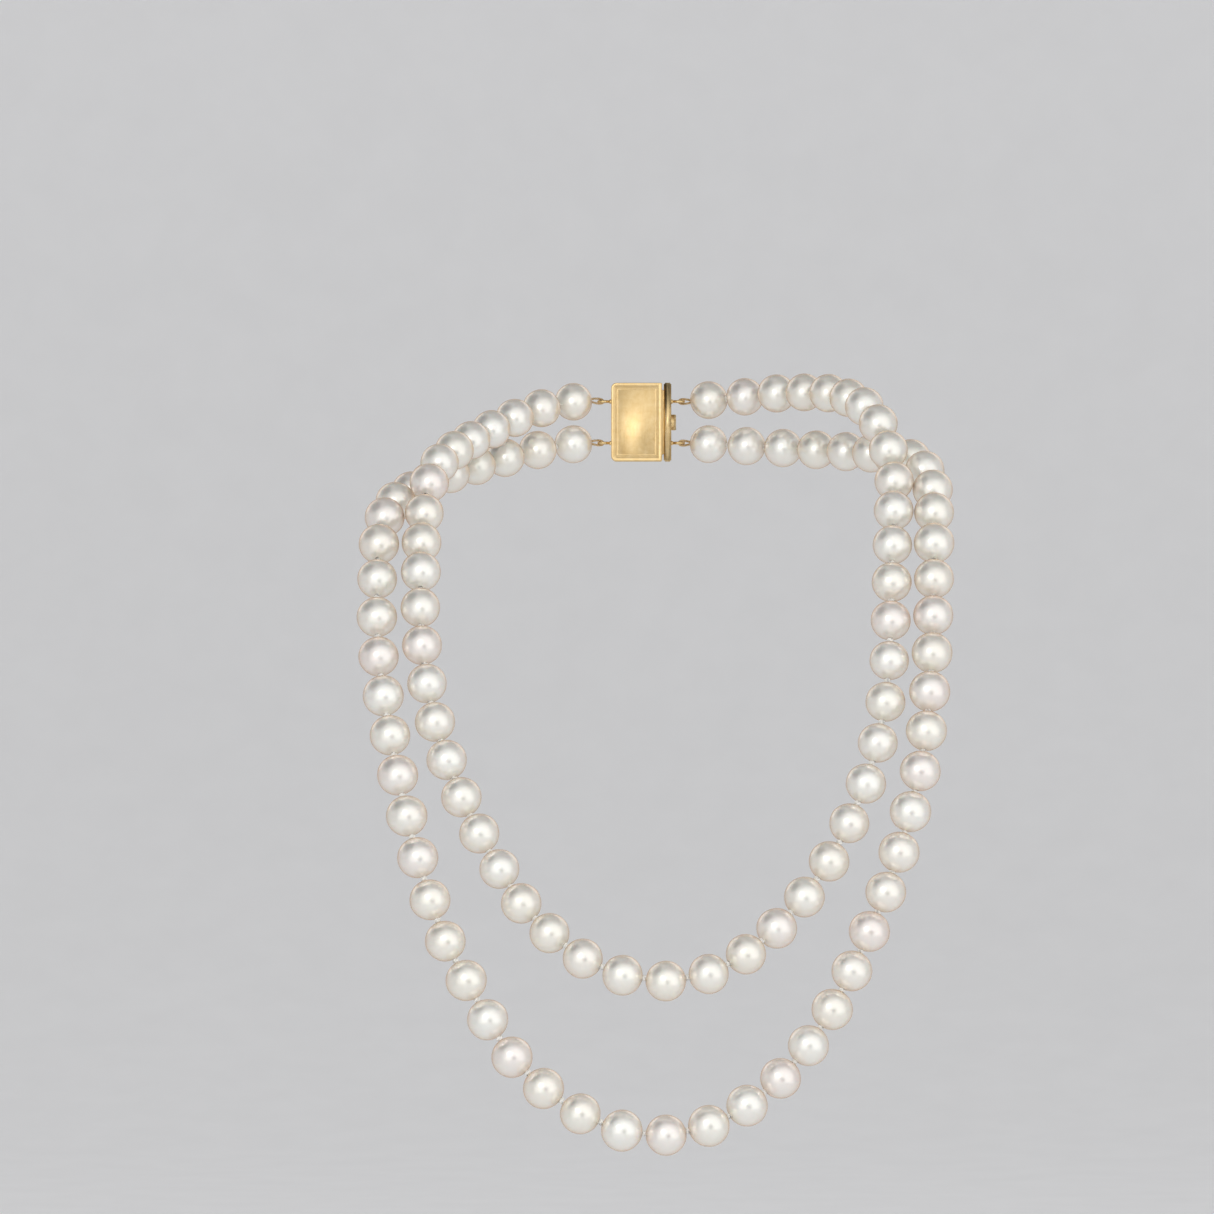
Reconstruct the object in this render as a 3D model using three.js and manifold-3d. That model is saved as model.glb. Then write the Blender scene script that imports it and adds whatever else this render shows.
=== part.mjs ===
// A two-strand pearl necklace, lying as it is worn: the short strand inside the long one,
// both knotted on silk and joined at the nape by a two-row box clasp.
//
// Millimetres, +Z up. The wearer faces -Y, and +X is on the right of someone looking at the wearer.
// The origin is on the clasp's flat back, which lies against the nape, halfway along and up the
// closed clasp.
import * as THREE from 'three';
import { mergeVertices } from 'three/addons/utils/BufferGeometryUtils.js';
import Module from 'manifold-3d';

const wasm = await Module();
wasm.setup();

// ---- Driving dimensions -------------------------------------------------------------------

const INNER_PEARL_DIAMETER = 8.2;
const OUTER_PEARL_DIAMETER = 8.35;
const KNOT_DIAMETER = 1.3;
const KNOT_STUB = 0.12; // how far a group's last knot stands out of its pearl

const ROW_HEIGHT = 4.5; // each strand's height above or below the middle of the clasp
const CLASP_MID_Y = 2.4; // the clasp's rings and strand ends lie at half its thickness
const STRAND_END_X = 10.5; // where the pearls begin, on each side of the clasp

const CLASP_HALF_HEIGHT = 8.5;
const CLASP_THICKNESS = 4.8;
const BOX_LEFT = -6.5;
const BOX_MOUTH = 4.5;
const PLATE = 0.6; // sheet metal of the box
const JOINT_GAP = 0.3; // solder line or running clearance between two pieces
const TONGUE_PLATE = 0.4;
const TONGUE_TIP = -5.2;
const END_BAR_LEFT = 4.9;
const END_BAR_RIGHT = 6.5;
const THUMB_TAB_WIDTH = 3.4;
const RING_RADIUS = 1.1;
const RING_WIRE = 0.3; // radius of the ring's wire
const BULLION_RADIUS = 0.95;
const BULLION_WIRE = 0.32; // radius of the coiled gold wire that covers the silk

const PALE_NACRE = new THREE.MeshStandardMaterial({ color: 0xf1e8dc, roughness: 0.22, metalness: 0 });
const WARM_NACRE = new THREE.MeshStandardMaterial({ color: 0xf2e6d8, roughness: 0.24, metalness: 0 });
const GOLD = new THREE.MeshStandardMaterial({ color: 0xd9b56a, roughness: 0.25, metalness: 1 });
const BULLION_GOLD = new THREE.MeshStandardMaterial({ color: 0xd2ac62, roughness: 0.35, metalness: 1 });

const necklace = new THREE.Group();

function add(name, geometry, material) {
  const mesh = new THREE.Mesh(geometry, material);
  mesh.name = name;
  necklace.add(mesh);
  return mesh;
}

// ---- Lines that the strands hinge on ------------------------------------------------------

// A knot of every strand, on both sides, lies on each of these two lines across the body, so
// all that hangs below a line can lift about it.
const SHOULDER_LINE = [[-54.6, -56, -23.8], [60.2, -61.5, -23.4]];
const CHEST_LINE = [[-41.6, -94, -103.1], [47.2, -91.5, -101.4]];

function onLine([start, end], x) {
  const share = (x - start[0]) / (end[0] - start[0]);
  return start.map((value, axis) => value + share * (end[axis] - value));
}

// ---- Routes -------------------------------------------------------------------------------

// Each strand in six stretches from the clasp's box, round the wearer's right side, down over
// the chest and back up to the clasp's tongue. A stretch begins on a hinge knot and ends where
// the next begins; its pearls are spread evenly along it.
const INNER_STRETCHES = [
  { name: 'left_nape', groups: [3, 3, 3], points: [
    [-STRAND_END_X, CLASP_MID_Y, ROW_HEIGHT], [-16, 0.2, 4.2], [-25, -7.8, 1.6],
    [-34.6, -21.5, -3.6], [-40.8, -35.5, -8], [-44.2, -46.2, -13]] },
  { name: 'left_shoulder', groups: [3, 3, 3, 2], points: [
    onLine(SHOULDER_LINE, -45.6), [-45.7, -65.7, -33], [-45.3, -73, -47.2],
    [-42.5, -79.3, -63], [-36.8, -85, -78.8], [-28.5, -90, -93.9]] },
  { name: 'left_front', groups: [3], points: [
    onLine(CHEST_LINE, -22), [-11.4, -98, -111]] },
  { name: 'right_front', groups: [4], points: [
    [0, -100, -114.6], [11, -99.8, -114.1], [20.9, -97, -109.4]] },
  { name: 'right_shoulder', groups: [4, 3, 3], points: [
    onLine(CHEST_LINE, 29.6), [37.7, -88.6, -91], [45.2, -84.3, -75.5],
    [49.3, -79, -59.4], [50.6, -72.8, -43.7]] },
  { name: 'right_nape', groups: [3, 3, 3, 2], points: [
    onLine(SHOULDER_LINE, 51.6), [52.3, -53.5, -14.6], [50.8, -46, -5.4], [47.5, -36.5, 1.5],
    [41.5, -22.5, 5.2], [31.5, -9, 6], [20, -0.2, 5.2], [STRAND_END_X, CLASP_MID_Y, ROW_HEIGHT]] },
];

const OUTER_STRETCHES = [
  { name: 'left_nape', groups: [3, 3, 3], points: [
    [-STRAND_END_X, CLASP_MID_Y, -ROW_HEIGHT], [-18, -0.5, -5.2], [-29.5, -8.5, -8],
    [-40.5, -21, -11.6], [-47.2, -33.5, -14.8], [-51.8, -45, -18.2]] },
  { name: 'left_shoulder', groups: [4, 3, 3], points: [
    onLine(SHOULDER_LINE, -54.2), [-54.7, -65.5, -35.7], [-54, -73.6, -51.2],
    [-51.3, -81.6, -67.1], [-47.6, -88.6, -83.2]] },
  { name: 'left_front', groups: [4, 3], points: [
    onLine(CHEST_LINE, -41.6), [-35.2, -96.5, -115.8], [-25.8, -99.5, -130.9],
    [-13, -102.6, -141.1]] },
  { name: 'right_front', groups: [3, 3, 2], points: [
    [0, -103.8, -145.3], [13, -103.2, -143.6], [26.5, -99.8, -135.2], [37.6, -95.8, -121.2]] },
  { name: 'right_shoulder', groups: [4, 3, 3], points: [
    onLine(CHEST_LINE, 47.2), [51.9, -88.9, -88.4], [56.4, -85.4, -71.4],
    [58.4, -79.4, -55.3], [59.4, -72, -40.4]] },
  { name: 'right_nape', groups: [4, 4, 3], points: [
    onLine(SHOULDER_LINE, 60.1), [60.2, -50.2, -14.8], [57.4, -39, -9.4], [51.6, -26, -7.7],
    [42, -13, -6.6], [28.5, -3.2, -5.6], [STRAND_END_X, CLASP_MID_Y, -ROW_HEIGHT]] },
];

const STEPS_PER_SPAN = 40;

// One smooth curve through all of a strand's points, cut at the hinge knots.
function stretchCurves(stretches) {
  const points = stretches.flatMap((stretch) => stretch.points).map((p) => new THREE.Vector3(...p));
  const curve = new THREE.CatmullRomCurve3(points, false, 'catmullrom', 0.5);
  const spans = points.length - 1;
  let first = 0;
  return stretches.map((stretch, index) => {
    const last = index + 1 < stretches.length ? first + stretch.points.length : spans;
    const count = (last - first) * STEPS_PER_SPAN;
    const samples = [];
    for (let i = 0; i <= count; i++) {
      samples.push(curve.getPoint((first + (i / count) * (last - first)) / spans));
    }
    first = last;
    return samples;
  });
}

// Places at equal distances along a sampled stretch, each in the middle of its pearl's share.
function spread(samples, count) {
  const lengths = [0];
  for (let i = 1; i < samples.length; i++) {
    lengths.push(lengths[i - 1] + samples[i].distanceTo(samples[i - 1]));
  }
  const share = lengths.at(-1) / count;
  return Array.from({ length: count }, (_, pearl) => {
    const wanted = (pearl + 0.5) * share;
    const next = lengths.findIndex((length) => length >= wanted);
    const part = (wanted - lengths[next - 1]) / (lengths[next] - lengths[next - 1]);
    return samples[next - 1].clone().lerp(samples[next], part);
  });
}

// ---- Pearls on their knotted silk ---------------------------------------------------------

function toSolid(geometry) {
  const bare = geometry.clone();
  bare.deleteAttribute('normal');
  bare.deleteAttribute('uv');
  const merged = mergeVertices(bare);
  return new wasm.Manifold(new wasm.Mesh({
    numProp: 3,
    vertProperties: new Float32Array(merged.attributes.position.array),
    triVerts: new Uint32Array(merged.index.array),
  }));
}

function toGeometry(solid) {
  const mesh = solid.getMesh();
  const geometry = new THREE.BufferGeometry();
  geometry.setAttribute('position', new THREE.BufferAttribute(new Float32Array(mesh.vertProperties), 3));
  geometry.setIndex(new THREE.BufferAttribute(new Uint32Array(mesh.triVerts), 1));
  geometry.computeVertexNormals();
  return geometry;
}

const UP = new THREE.Vector3(0, 1, 0);

function pearlSolid(centre, direction, diameter) {
  const geometry = new THREE.IcosahedronGeometry(diameter / 2, 1);
  geometry.applyQuaternion(new THREE.Quaternion().setFromUnitVectors(UP, direction));
  geometry.translate(centre.x, centre.y, centre.z);
  return toSolid(geometry);
}

// A stretch of knotted silk from one point to another.
function silkSolid(from, to) {
  const along = to.clone().sub(from);
  const geometry = new THREE.CylinderGeometry(KNOT_DIAMETER / 2, KNOT_DIAMETER / 2, along.length(), 6);
  geometry.applyQuaternion(new THREE.Quaternion().setFromUnitVectors(UP, along.clone().normalize()));
  const middle = from.clone().lerp(to, 0.5);
  geometry.translate(middle.x, middle.y, middle.z);
  return toSolid(geometry);
}

// A run of neighbouring pearls, the knots between them, and the knot after the last one.
function pearlGroup(centres, diameter, next) {
  const ends = next ? [...centres, next] : centres;
  let solid = null;
  centres.forEach((centre, i) => {
    const towards = (ends[i + 1] ?? centre.clone().multiplyScalar(2).sub(ends[i - 1])).clone();
    const direction = towards.sub(centre).normalize();
    const pearl = pearlSolid(centre, direction, diameter);
    solid = solid ? solid.add(pearl) : pearl;
    if (i + 1 < centres.length) {
      const overlap = direction.clone().multiplyScalar(diameter / 2 - 0.8);
      solid = solid.add(silkSolid(centre.clone().add(overlap), centres[i + 1].clone().sub(overlap)));
    } else if (next) {
      const root = centre.clone().addScaledVector(direction, diameter / 2 - 0.8);
      const tip = centre.clone().addScaledVector(direction, diameter / 2 + KNOT_STUB);
      solid = solid.add(silkSolid(root, tip));
    }
  });
  return toGeometry(solid);
}

function addStrand(strand, stretches, diameter, material) {
  const curves = stretchCurves(stretches);
  const places = stretches.map(({ groups }, i) => spread(curves[i], groups.reduce((a, b) => a + b)));
  stretches.forEach(({ name, groups }, i) => {
    let used = 0;
    groups.forEach((count, group) => {
      const centres = places[i].slice(used, used + count);
      used += count;
      const next = places[i][used] ?? places[i + 1]?.[0];
      add(`${strand}_${name}_pearls_${group + 1}`, pearlGroup(centres, diameter, next), material);
    });
  });
}

// ---- Clasp --------------------------------------------------------------------------------

// A flat plate with rounded corners, in the plane of X and Z, from y to y + thickness.
function plate(left, right, halfHeight, y, thickness, corner) {
  const shape = new THREE.Shape();
  shape.moveTo(left + corner, -halfHeight);
  shape.lineTo(right - corner, -halfHeight);
  shape.absarc(right - corner, -halfHeight + corner, corner, -Math.PI / 2, 0);
  shape.lineTo(right, halfHeight - corner);
  shape.absarc(right - corner, halfHeight - corner, corner, 0, Math.PI / 2);
  shape.lineTo(left + corner, halfHeight);
  shape.absarc(left + corner, halfHeight - corner, corner, Math.PI / 2, Math.PI);
  shape.lineTo(left, -halfHeight + corner);
  shape.absarc(left + corner, -halfHeight + corner, corner, Math.PI, Math.PI * 1.5);
  const geometry = new THREE.ExtrudeGeometry(shape, { depth: thickness, bevelEnabled: false, curveSegments: 3 });
  geometry.rotateX(Math.PI / 2);
  geometry.translate(0, y + thickness, 0);
  return geometry;
}

function block([x0, x1], [y0, y1], [z0, z1]) {
  const geometry = new THREE.BoxGeometry(x1 - x0, y1 - y0, z1 - z0);
  geometry.translate((x0 + x1) / 2, (y0 + y1) / 2, (z0 + z1) / 2);
  return geometry;
}

// An outline in X and Y, extruded along Z about the clasp's middle.
function profile(outline, width) {
  const shape = new THREE.Shape(outline.map(([x, y]) => new THREE.Vector2(x, y)));
  const geometry = new THREE.ExtrudeGeometry(shape, { depth: width, bevelEnabled: false });
  geometry.translate(0, 0, -width / 2);
  return geometry;
}

function addBox() {
  const inside = CLASP_HALF_HEIGHT - PLATE;
  const walls = [PLATE + JOINT_GAP, CLASP_THICKNESS - PLATE - JOINT_GAP];
  add('clasp_back_plate', plate(BOX_LEFT, BOX_MOUTH, CLASP_HALF_HEIGHT, 0, PLATE, 1.2), GOLD);
  add('clasp_cover', plate(BOX_LEFT, BOX_MOUTH, CLASP_HALF_HEIGHT, CLASP_THICKNESS - PLATE, PLATE, 1.2), GOLD);
  const railX = [BOX_LEFT + 1.2, BOX_MOUTH - 0.2];
  add('clasp_upper_wall', block(railX, walls, [inside, CLASP_HALF_HEIGHT]), GOLD);
  add('clasp_lower_wall', block(railX, walls, [-CLASP_HALF_HEIGHT, -inside]), GOLD);
  const endX = [BOX_LEFT, BOX_LEFT + PLATE];
  add('clasp_end_wall', block(endX, walls, [-inside + JOINT_GAP, inside - JOINT_GAP]), GOLD);
  const lipX = [BOX_MOUTH - 1.2, BOX_MOUTH - 0.6];
  const lipY = [3.0, walls[1]];
  add('clasp_catch_lip', block(lipX, lipY, [-inside + JOINT_GAP, inside - JOINT_GAP]), GOLD);
}

function addTongue() {
  const halfHeight = CLASP_HALF_HEIGHT - PLATE - 0.8;
  add('clasp_tongue', plate(TONGUE_TIP, END_BAR_LEFT - JOINT_GAP, halfHeight, 1.0, TONGUE_PLATE, 0.5), GOLD);
  add('clasp_end_bar', endBar(), GOLD);
}

// The bar that the tongue is soldered to, cut away in the middle for the thumb tab.
function endBar() {
  const notch = THUMB_TAB_WIDTH / 2 + 0.5;
  const notchFloor = 1.4;
  const shape = new THREE.Shape([
    [0, -CLASP_HALF_HEIGHT], [CLASP_THICKNESS, -CLASP_HALF_HEIGHT], [CLASP_THICKNESS, -notch],
    [notchFloor, -notch], [notchFloor, notch], [CLASP_THICKNESS, notch],
    [CLASP_THICKNESS, CLASP_HALF_HEIGHT], [0, CLASP_HALF_HEIGHT],
  ].map(([y, z]) => new THREE.Vector2(y, z)));
  const depth = END_BAR_RIGHT - END_BAR_LEFT;
  const geometry = new THREE.ExtrudeGeometry(shape, { depth, bevelEnabled: false });
  // the outline's first axis becomes Y, its second Z, and the extrusion runs along X
  geometry.applyMatrix4(new THREE.Matrix4().set(
    0, 0, 1, END_BAR_LEFT,
    1, 0, 0, 0,
    0, 1, 0, 0,
    0, 0, 0, 1,
  ));
  return geometry;
}

// The folded spring that snaps behind the catch lip, and the tab that a thumb presses.
function addSpring() {
  const leaf = [[-5.0, 1.7], [2.9, 3.1], [2.9, 3.45], [-5.0, 2.05]];
  add('clasp_spring_leaf', profile(leaf, 2 * (CLASP_HALF_HEIGHT - PLATE - 0.9)), GOLD);
  const tab = [[3.2, 2.15], [4.6, 2.15], [4.9, 2.6], [6.9, 2.6], [7.4, 3.1], [7.4, 3.9], [6.6, 3.2],
    [4.6, 3.2], [4.3, 2.65], [3.2, 2.65]];
  add('clasp_thumb_tab', profile(tab, THUMB_TAB_WIDTH), GOLD);
}

// A soldered ring at each strand's end, and the strand's own loop of gold-covered silk in it.
function addRings(side, direction, face) {
  const rows = { upper: ROW_HEIGHT, lower: -ROW_HEIGHT };
  for (const [row, height] of Object.entries(rows)) {
    const ring = new THREE.TorusGeometry(RING_RADIUS, RING_WIRE, 6, 14);
    ring.translate(face + direction * (JOINT_GAP + RING_RADIUS + RING_WIRE), CLASP_MID_Y, height);
    add(`clasp_${side}_ring_${row}`, ring, GOLD);
    const loop = new THREE.TorusGeometry(BULLION_RADIUS, BULLION_WIRE, 6, 14);
    loop.rotateX(Math.PI / 2);
    loop.translate(direction * (STRAND_END_X - BULLION_RADIUS - BULLION_WIRE), CLASP_MID_Y, height);
    add(`${row === 'upper' ? 'inner' : 'outer'}_${side}_bullion`, loop, BULLION_GOLD);
  }
}

// ---- Assembly -----------------------------------------------------------------------------

addStrand('inner', INNER_STRETCHES, INNER_PEARL_DIAMETER, PALE_NACRE);
addStrand('outer', OUTER_STRETCHES, OUTER_PEARL_DIAMETER, WARM_NACRE);
addBox();
addTongue();
addSpring();
addRings('left', -1, BOX_LEFT);
addRings('right', 1, END_BAR_RIGHT);

export default necklace;
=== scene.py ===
"""A two-strand pearl necklace in its worn drape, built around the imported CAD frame.

Every pearl, every silk knot and every piece of the clasp is modelled here as its own piece.
Metres, in the row's frame: +Z up, the wearer faces -Y, the origin on the clasp's flat back.
"""
import math
import random

import bmesh
import bpy
from mathutils import Matrix, Vector, noise


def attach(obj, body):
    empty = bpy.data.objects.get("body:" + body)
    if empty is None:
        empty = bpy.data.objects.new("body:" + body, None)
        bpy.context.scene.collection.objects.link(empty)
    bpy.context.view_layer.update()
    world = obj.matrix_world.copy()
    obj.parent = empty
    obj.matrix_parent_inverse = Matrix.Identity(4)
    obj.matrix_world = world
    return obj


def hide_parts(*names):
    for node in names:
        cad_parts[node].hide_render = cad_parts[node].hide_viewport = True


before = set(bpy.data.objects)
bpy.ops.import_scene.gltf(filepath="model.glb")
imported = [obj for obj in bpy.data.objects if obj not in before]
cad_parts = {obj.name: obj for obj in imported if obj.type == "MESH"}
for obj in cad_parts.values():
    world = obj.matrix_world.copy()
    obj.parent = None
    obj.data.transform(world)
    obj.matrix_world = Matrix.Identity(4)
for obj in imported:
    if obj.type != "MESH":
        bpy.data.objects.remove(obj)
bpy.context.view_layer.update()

scene = bpy.context.scene

MM = 0.001

# ---- Sizes, in millimetres ----------------------------------------------------------------

PEARL_DIAMETER = {"inner": 8.2, "outer": 8.35}
DRILL_RADIUS = 0.42
RIM_STEP = 0.012  # in radians: a close row of points keeps the edge of the drilled hole crisp
PEARL_SEGMENTS = 64
PEARL_ROWS = 36

CORE_RADIUS = 0.39  # the doubled thread fills the drilled hole
THREAD_RADIUS = 0.27
KNOT_LOOP = 0.30
KNOT_SWELL = 0.17
KNOT_STEPS = 54
KNOT_SINK = 0.16  # how far a knot presses into the holes on both sides of it
FIBRE_SHARE = 0.3  # the share of knots with a loose fibre
FIBRE_RADIUS = 0.045

ROW_HEIGHT = 4.5
CLASP_MID_Y = 2.4
STRAND_END_X = 10.5
CLASP_HALF_HEIGHT = 8.5
CLASP_THICKNESS = 4.8
BOX_LEFT = -6.5
BOX_MOUTH = 4.5
PLATE = 0.6
BOX_CORNER = 1.2
BOX_INNER_CORNER = 0.7
MOUTH_CORNER = 0.3
BAND_OVERLAP = 0.05  # how far the side band is let into the plates
MIN_CORNER = 0.05
PLATE_EDGE = 0.18
# the lines cut round the back plate, as how far in from its edge and how deep
BACK_BORDER = [(0.95, 0), (1.0, 0.09), (1.15, 0.09), (1.2, 0),
               (1.45, 0), (1.5, 0.05), (1.58, 0.05), (1.62, 0)]
CATCH_LIP_X = (BOX_MOUTH - 1.2, BOX_MOUTH - 0.6)
CATCH_LIP_Y = (3.0, 4.1)
CATCH_LIP_HALF_HEIGHT = 7.6

COVER_RINGS = 96
COVER_POINT_GAP = 0.14
COVER_DOME = 0.75
COVER_SHOULDER = 0.65  # how far the cover's outer edge lies below the clasp's thickness
COVER_EDGE = 0.3
COVER_EDGE_RINGS = 3
FIELD_SHARE = 0.8  # the engraved field, as a share of the cover
FIELD_FADE = 0.06
BORDER_SHARE = 0.86  # the outer edge of the line round the field
BORDER_DEPTH = 0.12
LATTICE_TURN = 1.35  # radians of the lattice's waves for each millimetre
LATTICE_WIDTH = 0.42
LATTICE_DEPTH = 0.14
BEAD_RADIUS = 0.21
BEAD_PITCH = 0.46
BEAD_INSET = 0.75

TONGUE_TIP = -5.2
TONGUE_HALF_HEIGHT = 7.1
TONGUE_Y = (1.0, 1.4)
LEAF_HALF_HEIGHT = 7.0
END_BAR_LEFT = 4.9
END_BAR_RIGHT = 6.5
NOTCH_FLOOR = 1.4
THUMB_TAB_WIDTH = 3.4
TAB_RIBS = 4
TAB_RIB_PITCH = 0.42

RING_RADIUS = 1.1
RING_WIRE = 0.3
RING_REACH = 1.62  # from the clasp's face to the ring's middle
RING_STEPS = 40
SOLDER_RADIUS = 0.5
FRENCH_WIRE_TURNS = 46
FRENCH_WIRE_STEPS = 9  # for each turn
FRENCH_WIRE_COIL = 0.24
FRENCH_WIRE_RADIUS = 0.062
FRENCH_WIRE_HALF_WIDTH = 0.72
FRENCH_WIRE_REACH = 2.3  # from the strand's end to the loop's tip
FRENCH_WIRE_ROOT = 0.5  # how far the wire goes into the pearl's hole


# ---- Camera -------------------------------------------------------------------------------

def add_camera():
    """A long lens, level, looking straight at the wearer's front."""
    data = bpy.data.cameras.new("camera")
    data.lens = 185
    data.sensor_width = 36
    data.clip_end = 20
    camera = bpy.data.objects.new("camera", data)
    camera.location = (-0.0074, -1.349, -0.040)
    camera.rotation_euler = (math.radians(90), 0, 0)
    scene.collection.objects.link(camera)
    scene.camera = camera


add_camera()

# ---- The strands' routes, as in part.mjs --------------------------------------------------

SHOULDER_LINE = [[-54.6, -56, -23.8], [60.2, -61.5, -23.4]]
CHEST_LINE = [[-41.6, -94, -103.1], [47.2, -91.5, -101.4]]


def on_line(line, x):
    """The point of a hinge line at a distance across the body."""
    start, end = line
    share = (x - start[0]) / (end[0] - start[0])
    return [a + share * (b - a) for a, b in zip(start, end)]


# Each stretch: its body, the pearls in each of its CAD groups, and the points of its route.
STRETCHES = {
    "inner": [
        ("left_nape", [3, 3, 3], [
            [-STRAND_END_X, CLASP_MID_Y, ROW_HEIGHT], [-16, 0.2, 4.2], [-25, -7.8, 1.6],
            [-34.6, -21.5, -3.6], [-40.8, -35.5, -8], [-44.2, -46.2, -13]]),
        ("left_shoulder", [3, 3, 3, 2], [
            on_line(SHOULDER_LINE, -45.6), [-45.7, -65.7, -33], [-45.3, -73, -47.2],
            [-42.5, -79.3, -63], [-36.8, -85, -78.8], [-28.5, -90, -93.9]]),
        ("left_front", [3], [
            on_line(CHEST_LINE, -22), [-11.4, -98, -111]]),
        ("right_front", [4], [
            [0, -100, -114.6], [11, -99.8, -114.1], [20.9, -97, -109.4]]),
        ("right_shoulder", [4, 3, 3], [
            on_line(CHEST_LINE, 29.6), [37.7, -88.6, -91], [45.2, -84.3, -75.5],
            [49.3, -79, -59.4], [50.6, -72.8, -43.7]]),
        ("right_nape", [3, 3, 3, 2], [
            on_line(SHOULDER_LINE, 51.6), [52.3, -53.5, -14.6], [50.8, -46, -5.4],
            [47.5, -36.5, 1.5], [41.5, -22.5, 5.2], [31.5, -9, 6], [20, -0.2, 5.2],
            [STRAND_END_X, CLASP_MID_Y, ROW_HEIGHT]]),
    ],
    "outer": [
        ("left_nape", [3, 3, 3], [
            [-STRAND_END_X, CLASP_MID_Y, -ROW_HEIGHT], [-18, -0.5, -5.2], [-29.5, -8.5, -8],
            [-40.5, -21, -11.6], [-47.2, -33.5, -14.8], [-51.8, -45, -18.2]]),
        ("left_shoulder", [4, 3, 3], [
            on_line(SHOULDER_LINE, -54.2), [-54.7, -65.5, -35.7], [-54, -73.6, -51.2],
            [-51.3, -81.6, -67.1], [-47.6, -88.6, -83.2]]),
        ("left_front", [4, 3], [
            on_line(CHEST_LINE, -41.6), [-35.2, -96.5, -115.8], [-25.8, -99.5, -130.9],
            [-13, -102.6, -141.1]]),
        ("right_front", [3, 3, 2], [
            [0, -103.8, -145.3], [13, -103.2, -143.6], [26.5, -99.8, -135.2],
            [37.6, -95.8, -121.2]]),
        ("right_shoulder", [4, 3, 3], [
            on_line(CHEST_LINE, 47.2), [51.9, -88.9, -88.4], [56.4, -85.4, -71.4],
            [58.4, -79.4, -55.3], [59.4, -72, -40.4]]),
        ("right_nape", [4, 4, 3], [
            on_line(SHOULDER_LINE, 60.1), [60.2, -50.2, -14.8], [57.4, -39, -9.4],
            [51.6, -26, -7.7], [42, -13, -6.6], [28.5, -3.2, -5.6],
            [STRAND_END_X, CLASP_MID_Y, -ROW_HEIGHT]]),
    ],
}

STEPS_PER_SPAN = 40


def spline_point(before, start, end, after, t):
    """A point of a uniform Catmull-Rom span."""
    leave = (end - before) * 0.5
    arrive = (after - start) * 0.5
    cube = (start * 2 - end * 2 + leave + arrive) * t ** 3
    square = (end * 3 - start * 3 - leave * 2 - arrive) * t ** 2
    return cube + square + leave * t + start


def stretch_samples(stretches):
    """One smooth curve through all of a strand's points, cut at the hinge knots."""
    points = [Vector(p) for _, _, route in stretches for p in route]
    padded = [points[0] * 2 - points[1], *points, points[-1] * 2 - points[-2]]
    first = 0
    samples = []
    for index, (_, _, route) in enumerate(stretches):
        last = first + len(route) if index + 1 < len(stretches) else len(points) - 1
        line = []
        for span in range(first, last):
            corners = padded[span:span + 4]
            line += [spline_point(*corners, step / STEPS_PER_SPAN) for step in range(STEPS_PER_SPAN)]
        samples.append([*line, points[last]])
        first = last
    return samples


def spread(samples, count):
    """Places at equal distances along a sampled stretch, each in the middle of its share."""
    lengths = [0.0]
    for a, b in zip(samples, samples[1:]):
        lengths.append(lengths[-1] + (b - a).length)
    places = []
    for pearl in range(count):
        wanted = (pearl + 0.5) * lengths[-1] / count
        after = next(i for i, length in enumerate(lengths) if length >= wanted)
        part = (wanted - lengths[after - 1]) / (lengths[after] - lengths[after - 1])
        places.append(samples[after - 1].lerp(samples[after], part))
    return places


def strand_places(strand):
    """Every pearl of a strand as its place, its body and its CAD node, from clasp to clasp."""
    pearls = []
    stretches = STRETCHES[strand]
    for (body, groups, _), samples in zip(stretches, stretch_samples(stretches)):
        nodes = [f"{strand}_{body}_pearls_{g + 1}" for g, n in enumerate(groups) for _ in range(n)]
        places = spread(samples, len(nodes))
        pearls += [(place * MM, body, node) for place, node in zip(places, nodes)]
    return pearls


# ---- Materials ----------------------------------------------------------------------------

def new_material(name):
    """A material with its nodes, its links and its one shader."""
    material = bpy.data.materials.new(name)
    material.use_nodes = True
    nodes = material.node_tree.nodes
    return material, nodes, material.node_tree.links, nodes["Principled BSDF"]


def set_inputs(shader, **values):
    """Set the shader's own sockets, named with underscores for spaces."""
    for name, value in values.items():
        shader.inputs[name.replace("_", " ")].default_value = value


def noise_node(nodes, links, scale, detail=3.0, roughness=0.5, stretch=(1, 1, 1)):
    """Noise in the object's own space, finer along an axis with a larger stretch."""
    place = nodes.new("ShaderNodeTexCoord")
    axes = nodes.new("ShaderNodeMapping")
    axes.inputs["Scale"].default_value = stretch
    texture = nodes.new("ShaderNodeTexNoise")
    texture.inputs["Scale"].default_value = scale
    texture.inputs["Detail"].default_value = detail
    texture.inputs["Roughness"].default_value = roughness
    links.new(place.outputs["Object"], axes.inputs["Vector"])
    links.new(axes.outputs["Vector"], texture.inputs["Vector"])
    return texture


def ramp_node(nodes, links, source, stops):
    """Colours spread over a value, from stops of a position and a colour."""
    ramp = nodes.new("ShaderNodeValToRGB")
    elements = ramp.color_ramp.elements
    while len(elements) < len(stops):
        elements.new(0.5)
    for element, (position, colour) in zip(elements, stops):
        element.position = position
        element.color = (*colour, 1)
    links.new(source, ramp.inputs["Fac"])
    return ramp


def roughness_range(nodes, links, source, shader, low, high):
    """Roughness that follows a value between two limits."""
    spread_node = nodes.new("ShaderNodeMapRange")
    spread_node.inputs["To Min"].default_value = low
    spread_node.inputs["To Max"].default_value = high
    links.new(source, spread_node.inputs["Value"])
    links.new(spread_node.outputs["Result"], shader.inputs["Roughness"])


def bump(nodes, links, shader, height, strength, distance):
    """Fine relief from a value."""
    node = nodes.new("ShaderNodeBump")
    node.inputs["Strength"].default_value = strength
    node.inputs["Distance"].default_value = distance
    links.new(height, node.inputs["Height"])
    links.new(node.outputs["Normal"], shader.inputs["Normal"])


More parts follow.
